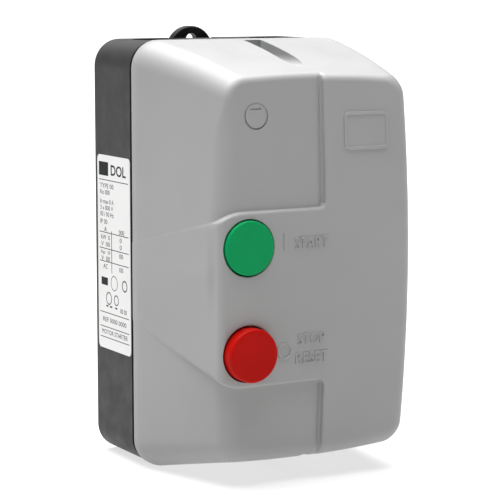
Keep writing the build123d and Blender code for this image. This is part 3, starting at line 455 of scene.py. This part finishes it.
def cover_surface(level):
    """Points of the surface where the cover's field has a level, its faces, and the points round its rim."""
    nx, nz = len(GRID_X), len(GRID_Z)
    x, z = np.meshgrid(GRID_X, GRID_Z, indexing="ij")
    places = [np.stack([x, np.full_like(x, GRID_DEPTH[-1]), z], -1).reshape(-1, 3)]
    faces = [
        (i * nz + j, (i + 1) * nz + j, (i + 1) * nz + j + 1, i * nz + j + 1)
        for i in range(nx - 1)
        for j in range(nz - 1)
    ]
    border = [(i, 0) for i in range(nx)] + [(nx - 1, j) for j in range(1, nz)]
    border += [(i, nz - 1) for i in range(nx - 2, -1, -1)] + [(0, j) for j in range(nz - 2, 0, -1)]
    edge_x = np.array([GRID_X[i] for i, j in border])
    edge_z = np.array([GRID_Z[j] for i, j in border])
    rim_z = np.interp(edge_z, (GRID_Z[0], BAND_LOW, BAND_HIGH, GRID_Z[-1]), RIM_KNOTS_Z)
    above = [i * nz + j for i, j in border]
    first = nx * nz
    for d in GRID_DEPTH[-2::-1]:
        share = np.clip((CROWN - d) / (CROWN - LIP_END), 0, 1)
        line = edge_z + share * (rim_z - edge_z)
        places.append(np.stack([edge_x, np.full_like(edge_x, d), line], -1))
        below = list(range(first, first + len(border)))
        for k in range(len(border)):
            n = (k + 1) % len(border)
            faces.append((above[k], below[k], below[n], above[n]))
        above = below
        first += len(border)
    outer = np.concatenate(places)
    core = np.stack(
        [
            np.clip(outer[:, 0], *CORE_X),
            np.minimum(outer[:, 1], CORE_DEPTH),
            np.clip(outer[:, 2], *CORE_Z),
        ],
        -1,
    )
    near, far = np.zeros(len(outer)), np.ones(len(outer))
    for _ in range(HALVINGS):
        middle = (near + far) / 2
        p = core + middle[:, None] * (outer - core)
        inside = cover_field(p[:, 0], p[:, 2], p[:, 1]) < level
        near, far = np.where(inside, middle, near), np.where(inside, far, middle)
    return core + near[:, None] * (outer - core), faces, above


def cover_shell(outside, inside):
    """The moulded shell between its outer and inner surface, closed round its rim."""
    points, faces, rim = outside
    inner_points, inner_faces, inner_rim = inside
    count = len(points)
    faces = faces + [tuple(count + v for v in face[::-1]) for face in inner_faces]
    for k, v in enumerate(rim):
        n = (k + 1) % len(rim)
        faces.append((v, count + inner_rim[k], count + inner_rim[n], rim[n]))
    return mesh_from("cover_shell", np.concatenate([points, inner_points]), faces)


def cover_solid(outside):
    """The outer form closed flat at the rim, to trim the details inside it."""
    points, faces, rim = outside
    return mesh_from("cover_solid", points, faces + [tuple(rim[::-1])])


BUTTONS = []
for name in ("start_button", "stop_button"):
    lo, hi = span(name)
    BUTTONS.append(((lo.x + hi.x) / 2, (lo.z + hi.z) / 2))
WELL_R, WELL_WALL, WELL_FLOOR, STEM_HOLE_R = 12.0, 1.7, 88.0, 3.7
GROOVE_R, GROOVE_WALL, SEAT, SCREW_HOLE_R = 4.2, 1.6, 46.0, 1.8
FLOOR_T = 2.0  # of the wells and of the grooves' seats
SCREW_HEAD_R = 3.5
SCREW_LO, SCREW_HI = span("cover_screws")
SCREW_X = (SCREW_LO.x + SCREW_HI.x) / 2
SCREW_Z = SCREW_HI.z - SCREW_HEAD_R
PAST = 5  # cutters run this far past the surface they cut,
PAST_WALL = 4  # and columns this far past the end walls


def cylinder_profile(r, near, far):
    """A plain solid cylinder's profile."""
    return [(0, near), (r, near), (r, far), (0, far)]


def u_column(name, side, r, near, far, steps=33):
    """A column with a round inner end that runs out through the cover's end wall."""
    turn = [(SCREW_X + r * cos(a), side * (SCREW_Z - r * sin(a))) for a in np.linspace(0, pi, steps)]
    end = side * (RIM_Z + PAST_WALL)
    ends = [(SCREW_X - r, end), (SCREW_X + r, end)]
    return stacked(name, [[(x, d, z) for x, z in turn + ends] for d in (near, far)])


def well_profile(face):
    """A button well's inside, with a softened mouth at the front's face."""
    mouth = ((0, -0.45), (0.12, -0.12), (0.5, 0.12), (0.9, 0.6), (0.9, PAST))
    profile = [(WELL_R + wider, face + rise) for wider, rise in mouth]
    return [(0, WELL_FLOOR), (WELL_R, WELL_FLOOR), *profile, (0, face + PAST)]


MARK_X, MARK_Z, MARK_R = -25.2, 63.5, 5.3
MARK_CUT, MARK_PAST = 0.5, 2.0  # how far its cutters reach into the face and out of it
MARK_LINE = 0.35  # half the width of the engraved ring
SLOT_RISE, SLOT_W, SLOT_H, SLOT_R = 3.0, 5.2, 0.9, 0.35


def engraved_mark():
    """The cutters for a blank engraved mark on the upper panel: a ring with a short slot inside it."""
    face = front_depth(MARK_Z) - RECESS
    near, far = face - MARK_CUT, face + MARK_PAST
    inner, outer = MARK_R - MARK_LINE, MARK_R + MARK_LINE
    ring = lathe("mark_cut", MARK_X, MARK_Z, [(inner, near), (outer, near), (outer, far), (inner, far)])
    outline = [(MARK_X + u, MARK_Z + SLOT_RISE + v) for u, v in rounded_outline(SLOT_W, SLOT_H, SLOT_R, 3)]
    return [ring, stacked("mark_slot", [[(u, depth, v) for u, v in outline] for depth in (near, far)])]


outside, inside = cover_surface(0.0), cover_surface(-WALL)
solid = cover_solid(outside)
details = []
for x, z in BUTTONS:
    profile = cylinder_profile(WELL_R + WELL_WALL, WELL_FLOOR - FLOOR_T, CROWN + 3)
    details.append(lathe("well", x, z, profile))
for side in (-1, 1):
    details.append(u_column("trough", side, GROOVE_R + GROOVE_WALL, SEAT - FLOOR_T, CROWN))
added = [boolean(detail, [solid], "INTERSECT") for detail in details]
cover_mesh = boolean(cover_shell(outside, inside), added, "UNION")
cuts = []
for x, z in BUTTONS:
    cuts.append(lathe("well_cut", x, z, well_profile(front_depth(z)), steps=128))
    cuts.append(lathe("stem_cut", x, z, cylinder_profile(STEM_HOLE_R, WELL_FLOOR - PAST, CROWN), steps=48))
for side in (-1, 1):
    cuts.append(u_column("groove_cut", side, GROOVE_R, SEAT, CROWN + PAST))
    profile = cylinder_profile(SCREW_HOLE_R, SEAT - PAST, SEAT + 1)
    cuts.append(lathe("screw_cut", SCREW_X, side * SCREW_Z, profile, steps=48))
cuts += engraved_mark()
cover_mesh = boolean(cover_mesh, cuts, "DIFFERENCE")
smooth(cover_mesh, 0.5)
cover_piece = link("cover_moulding", cover_mesh, "cover_plastic", "front_cover")
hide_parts("cover")


# ---------------------------------------------------------------- legends and badge
def text_mesh(words, width, height, thick, weight=0.0):
    """A line of block letters in millimetres, from its lower left corner; weight thickens the strokes."""
    curve = bpy.data.curves.new("words", "FONT")
    curve.body = words
    curve.extrude = 1.0
    curve.offset = weight
    curve.resolution_u = 3
    holder = bpy.data.objects.new("words", curve)
    bpy.context.scene.collection.objects.link(holder)
    graph = bpy.context.evaluated_depsgraph_get()
    mesh = bpy.data.meshes.new_from_object(holder.evaluated_get(graph))
    bpy.data.objects.remove(holder)
    points = np.array([v.co for v in mesh.vertices])
    lowest, size = points.min(0), np.ptp(points, axis=0)
    points = (points - lowest) / size * (width, height, thick)
    mesh.vertices.foreach_set("co", points.astype(np.float32).ravel())
    mesh.update()
    return mesh


def set_on_front(mesh, x, z, depth):
    """Turns a flat mesh in millimetres to face forwards, with its origin at x, z and its back at depth."""
    mesh.transform(Matrix(((1, 0, 0, x), (0, 0, -1, -depth), (0, 1, 0, z), (0, 0, 0, 1))))
    mesh.transform(Matrix.Scale(MM, 4))
    return mesh


RAISE = 0.45  # height of the legends
SINK = 0.3  # they start this far inside the cover's wall
SOFT = 0.12  # inset of the edges of the ring and the bar
LEGENDS = (
    ("legend_start", "START", -8.7, 7.6, 16.0, 5.0),
    ("legend_stop", "STOP", -7.0, -33.3, 13.2, 5.0),
    ("legend_reset", "RESET", -8.0, -41.5, 15.8, 5.1),
)
for name, words, x, z, width, height in LEGENDS:
    words_mesh = text_mesh(words, width, height, RAISE + SINK)
    set_on_front(words_mesh, x, z, front_depth(z + height / 2) - SINK)
    link(name, words_mesh, "cover_plastic", "front_cover")


def raised_ring(name, x, z, outer, inner, base):
    """A ring in relief, with softened edges, on a face at depth base."""
    top = base + RAISE
    profile = [(inner, base - SINK), (outer, base - SINK), (outer, top - SOFT)]
    profile += [(outer - SOFT, top), (inner + SOFT, top), (inner, top - SOFT)]
    mesh = lathe(name, x, z, profile, steps=72)
    smooth(mesh, 0.9)
    link(name, mesh, "cover_plastic", "front_cover")


def raised_bar(name, x, z, width, height, base):
    """An upright bar in relief about x, z, on a face at depth base."""
    top = base + RAISE
    layers = []
    for depth, inset in ((base - SINK, 0), (top - SOFT, 0), (top, SOFT)):
        outline = rounded_outline(width - 2 * inset, height - 2 * inset, BAR_R - inset * 0.5, 3)
        layers.append([(x + u, depth, z + v) for u, v in outline])
    link(name, stacked(name, layers), "cover_plastic", "front_cover")


BAR_R = 0.35
raised_bar("legend_on", -13.45, 11.05, 1.3, 7.7, front_depth(11))
raised_ring("legend_off", -13.4, -35.2, 3.6, 2.7, front_depth(-35))
BADGE_X, BADGE_Z, BADGE_W, BADGE_H, BADGE_R = 27.0, 56.0, 22.0, 16.0, 2.6
# the badge's height over the front and its inset, from its foot over its raised border to its blank field
BADGE_PROFILE = (
    (-0.6, 0),
    (0.35, 0),
    (0.5, 0.15),
    (0.55, 0.35),
    (0.55, 1.1),
    (0.45, 1.25),
    (0.2, 1.35),
    (0.2, 1.8),
)
badge_layers = []
for rise, inset in BADGE_PROFILE:
    outline = rounded_outline(BADGE_W - 2 * inset, BADGE_H - 2 * inset, BADGE_R - inset * 0.9, 8)
    badge_layers.append([(BADGE_X + u, front_depth(BADGE_Z + v) + rise, BADGE_Z + v) for u, v in outline])
badge = stacked("badge_plate", badge_layers)
smooth(badge, 0.35)
link("badge_plate", badge, "cover_plastic", "front_cover")

# ---------------------------------------------------------------- rating label print
LABEL_LO, LABEL_HI = span("rating_label")
LABEL_FACE, LABEL_BACK = LABEL_LO.x, LABEL_HI.y
LABEL_W, LABEL_H = LABEL_HI.y - LABEL_LO.y, LABEL_HI.z - LABEL_LO.z
INK = 0.03  # thickness of the print, of which a third lies inside the film
WORD_H = 0.024  # the small print's height, as a share of the label's


def ink_points(mesh):
    """Stands a flat mesh, drawn in millimetres from the label's lower left corner, on the label."""
    back = LABEL_FACE + INK / 3
    mesh.transform(Matrix(((0, 0, -1, back), (-1, 0, 0, LABEL_BACK), (0, 1, 0, LABEL_LO.z), (0, 0, 0, 1))))
    mesh.transform(Matrix.Scale(MM, 4))
    return mesh


def ink_bar(name, u, v):
    """A printed bar over spans u and v, as shares of the label's width and height from the top left."""
    x = [LABEL_W * s for s in u]
    y = [LABEL_H * (1 - s) for s in v][::-1]
    form = bmesh.new()
    corners = [(x[0], y[0]), (x[1], y[0]), (x[1], y[1]), (x[0], y[1])]
    flat = form.faces.new([form.verts.new((a, b, 0)) for a, b in corners])
    raised = bmesh.ops.extrude_face_region(form, geom=[flat])
    top = [g for g in raised["geom"] if isinstance(g, bmesh.types.BMVert)]
    bmesh.ops.translate(form, verts=top, vec=(0, 0, INK))
    bmesh.ops.recalc_face_normals(form, faces=form.faces)
    mesh = bpy.data.meshes.new(name)
    form.to_mesh(mesh)
    form.free()
    return ink_points(mesh)


def ink_words(words, u, v, width):
    """Small print from its upper left corner at u, v, with its width; all three are shares of the label's."""
    height = WORD_H * LABEL_H
    mesh = text_mesh(words, width * LABEL_W, height, INK)
    mesh.transform(Matrix.Translation((u * LABEL_W, LABEL_H * (1 - v) - height, 0)))
    return ink_points(mesh)


def joined(name, meshes):
    """One mesh of several."""
    form = bmesh.new()
    for mesh in meshes:
        form.from_mesh(mesh)
    whole = bpy.data.meshes.new(name)
    form.to_mesh(whole)
    form.free()
    return whole


# places on the label from here on are shares of its width and height, from its upper left corner
RULES = (0.125, 0.395, 0.478, 0.545, 0.81, 0.885, 0.94)
RULE_T = 0.004
rules = [ink_bar("rule", (0.05, 0.95), (v, v + RULE_T)) for v in RULES]
rules.append(ink_bar("divider", (0.42, 0.435), (0.385, 0.6)))
link("label_rules", joined("label_rules", rules), "print_ink", "base")

HEADING_U, HEADING_V, HEADING_W, HEADING_H = 0.42, 0.1, 0.46, 0.055
letters = text_mesh("DOL", HEADING_W * LABEL_W, HEADING_H * LABEL_H, INK, weight=0.02)
letters.transform(Matrix.Translation((HEADING_U * LABEL_W, LABEL_H * (1 - HEADING_V), 0)))
heading = [ink_bar("blank_mark", (0.05, 0.34), (0.035, 0.105)), ink_points(letters)]
link("label_heading", joined("label_heading", heading), "print_ink", "base")

LINES = (
    ("TYPE 00", 0.08, 0.145, 0.42),
    ("No 000", 0.08, 0.178, 0.3),
    ("In max 0 A", 0.08, 0.225, 0.42),
    ("3 x 000 V", 0.08, 0.258, 0.4),
    ("00 / 00 Hz", 0.08, 0.291, 0.42),
    ("IP 00", 0.08, 0.33, 0.22),
    ("A", 0.2, 0.368, 0.08),
    ("000", 0.66, 0.368, 0.16),
    ("kW  0", 0.1, 0.41, 0.27),
    ("0", 0.68, 0.41, 0.06),
    ("V  00", 0.1, 0.445, 0.27),
    ("0", 0.68, 0.445, 0.06),
    ("hp  0", 0.1, 0.49, 0.27),
    ("00", 0.66, 0.49, 0.12),
    ("V  00", 0.1, 0.52, 0.27),
    ("AC", 0.16, 0.56, 0.14),
    ("00", 0.66, 0.56, 0.12),
    ("00 00", 0.68, 0.77, 0.2),
    ("REF 0000 0000", 0.14, 0.836, 0.72),
    ("MOTOR STARTER", 0.1, 0.901, 0.8),
)
words = [ink_words(text, u, v, width) for text, u, v, width in LINES]
link("label_words", joined("label_words", words), "print_ink", "base")


def ink_ring(u, v, r, stroke, steps=40):
    """A printed ring about u, v, with its radius and stroke in millimetres."""
    cx, cy = LABEL_W * u, LABEL_H * (1 - v)
    form = bmesh.new()
    loops = []
    for radius, height in ((r, 0), (r, INK), (r - stroke, INK), (r - stroke, 0)):
        turn = np.linspace(0, 2 * pi, steps, endpoint=False)
        loops.append([form.verts.new((cx + radius * cos(a), cy + radius * sin(a), height)) for a in turn])
    for a, b in zip(loops, loops[1:] + loops[:1]):
        for i in range(steps):
            j = (i + 1) % steps
            form.faces.new((a[i], a[j], b[j], b[i]))
    bmesh.ops.recalc_face_normals(form, faces=form.faces)
    mesh = bpy.data.meshes.new("ring")
    form.to_mesh(mesh)
    form.free()
    return ink_points(mesh)


marks = [ink_bar("mark", (0.1, 0.3), (0.63, 0.67))]
marks += [ink_ring(0.5, 0.65, 3.4, 0.35), ink_ring(0.82, 0.65, 2.6, 0.6)]
marks += [ink_ring(0.33, 0.735, 2.9, 0.5), ink_ring(0.56, 0.735, 2.4, 0.5)]
marks += [ink_bar("mark", (u, u + 0.07), (0.772, 0.78)) for u in (0.24, 0.36, 0.52)]
link("label_marks", joined("label_marks", marks), "print_ink", "base")


# ---------------------------------------------------------------- springs as steel copies that ride on their bodies
def squeezed(node, body):
    """A steel copy of a spring that rides on a body, in place of the CAD spring, which is hidden."""
    piece = link(node + "_wire", frame["nodes"][node].data.copy(), "spring_steel", body)
    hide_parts(node)
    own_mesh(piece)


squeezed("start_spring", "front_cover")
squeezed("stop_spring", "front_cover")
squeezed("start_plunger_spring", "base")
squeezed("reset_spring", "base")
squeezed("return_springs", "base")


# ---------------------------------------------------------------- floor, light and camera
SKY_AIM = (-0.04, 0.17, 0.98)  # the middle of the bright patch
SKY_EDGE = 0.72  # cosine of the angle from its middle to its edge
SKY_LOW = 0.1  # brightness outside the patch,
SKY_HIGH = 11.4  # and at its middle
BACKDROP = 1.0  # brightness of the sky that the camera sees
FLOOR_GLOW = 0.7
FLOOR_GREY = 0.25
FLOOR_ROUGH = (0.75, 0.95)
FLOOR_HALF = 60.0
CAMERA_AT = (-0.43323, -0.81172, 0.11963)
YAW, PITCH = 0.516, 0.135  # the camera looks this far to the right of +Y, and this far down
LENS, SENSOR = 144, 36  # in millimetres


def floor():
    """A pale floor under the standing starter."""
    half, z = FLOOR_HALF, CAD_BOX[0][2]
    corners = [(-half, -half, z), (half, -half, z), (half, half, z), (-half, half, z)]
    mesh = bpy.data.meshes.new("floor")
    mesh.from_pydata(corners, [], [(0, 1, 2, 3)])
    material, tree, shader, place = node_chain("floor_paint")
    shader.inputs["Base Color"].default_value = (FLOOR_GREY, FLOOR_GREY, FLOOR_GREY, 1)
    shader.inputs["Emission Color"].default_value = (1, 1, 1, 1)
    shader.inputs["Emission Strength"].default_value = FLOOR_GLOW
    shader.inputs["Specular IOR Level"].default_value = 0.0
    tree.links.new(between(tree, noise(tree, place, 2.0), *FLOOR_ROUGH), shader.inputs["Roughness"])
    mesh.materials.append(material)
    ground = bpy.data.objects.new("floor", mesh)
    bpy.context.scene.collection.objects.link(ground)


def studio():
    """Soft light from a broad bright patch of sky overhead and a little behind, with a pale backdrop."""
    world = bpy.data.worlds.new("studio")
    bpy.context.scene.world = world
    world.use_nodes = True
    tree = world.node_tree
    background = tree.nodes["Background"]
    background.inputs["Color"].default_value = (1, 1, 1, 1)
    place = tree.nodes.new("ShaderNodeTexCoord")
    aim = tree.nodes.new("ShaderNodeVectorMath")
    aim.operation = "DOT_PRODUCT"
    aim.inputs[1].default_value = Vector(SKY_AIM).normalized()
    tree.links.new(place.outputs["Generated"], aim.inputs[0])
    level = tree.nodes.new("ShaderNodeMapRange")
    level.interpolation_type = "SMOOTHSTEP"
    level.inputs["From Min"].default_value = SKY_EDGE
    level.inputs["From Max"].default_value = 1.0
    level.inputs["To Min"].default_value = SKY_LOW
    level.inputs["To Max"].default_value = SKY_HIGH
    tree.links.new(aim.outputs["Value"], level.inputs["Value"])
    path = tree.nodes.new("ShaderNodeLightPath")
    seen = tree.nodes.new("ShaderNodeMix")
    seen.inputs[VALUE_B].default_value = BACKDROP
    tree.links.new(path.outputs["Is Camera Ray"], seen.inputs[MIX_SHARE])
    tree.links.new(level.outputs["Result"], seen.inputs[VALUE_A])
    tree.links.new(seen.outputs[VALUE_OUT], background.inputs["Strength"])
    bpy.context.scene.view_settings.view_transform = "Standard"


def camera():
    """A long lens at the left, a little above the middle."""
    lens = bpy.data.cameras.new("camera")
    lens.lens = LENS
    lens.sensor_width = SENSOR
    lens.clip_end = 200
    view = bpy.data.objects.new("camera", lens)
    view.location = CAMERA_AT
    ahead = Vector((sin(YAW) * cos(PITCH), cos(YAW) * cos(PITCH), -sin(PITCH)))
    view.rotation_mode = "QUATERNION"
    view.rotation_quaternion = ahead.to_track_quat("-Z", "Y")
    bpy.context.scene.collection.objects.link(view)
    bpy.context.scene.camera = view


floor()
studio()
camera()
